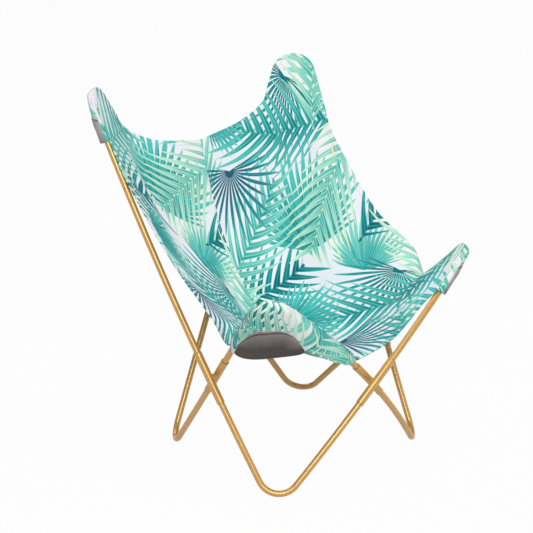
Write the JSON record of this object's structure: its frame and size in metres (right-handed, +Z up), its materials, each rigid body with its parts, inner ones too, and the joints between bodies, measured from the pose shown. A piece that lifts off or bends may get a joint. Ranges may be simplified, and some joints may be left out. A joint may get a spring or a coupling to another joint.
{
  "type": "butterfly sling chair",
  "caption": "Low lounge chair: crossed hairpin tubes in sleeved connectors carry a printed canvas sling hung by corner pockets.",
  "frame": {"origin": "middle of the chair's plan, on the floor", "axes": "+Z up, the sitter looks along -Y, +X is the sitter's left"},
  "size_m": [0.7084, 0.6706, 0.8783],
  "materials": {
    "frame": "satin gold metallic paint",
    "canvas": "matt canvas with a leaf print",
    "leatherette": "smooth coated cloth, soft gloss"
  },
  "bodies": {
    "root": {"foot_front_right_hairpin": "frame", "foot_front_left_hairpin": "frame", "foot_rear_right_hairpin": "frame", "foot_rear_left_hairpin": "frame", "top_front_right_hairpin": "frame", "top_front_left_hairpin": "frame", "top_rear_right_hairpin": "frame", "top_rear_left_hairpin": "frame", "sleeve_right_outer": "frame", "sleeve_right_inner": "frame", "sleeve_left_outer": "frame", "sleeve_left_inner": "frame", "sleeve_front_outer": "frame", "sleeve_front_inner": "frame", "sleeve_rear_outer": "frame", "sleeve_rear_inner": "frame", "boss_right": "frame", "boss_left": "frame", "boss_front": "frame", "boss_rear": "frame", "sling_panel_left": "canvas", "hood_front_left": "canvas", "flap_front_left": "leatherette", "hood_rear_left": "canvas", "flap_rear_left": "leatherette", "sling_panel_right": "canvas", "hood_front_right": "canvas", "flap_front_right": "leatherette", "brim_front_right": "canvas", "hood_rear_right": "canvas", "flap_rear_right": "leatherette"}
  },
  "joints": []
}
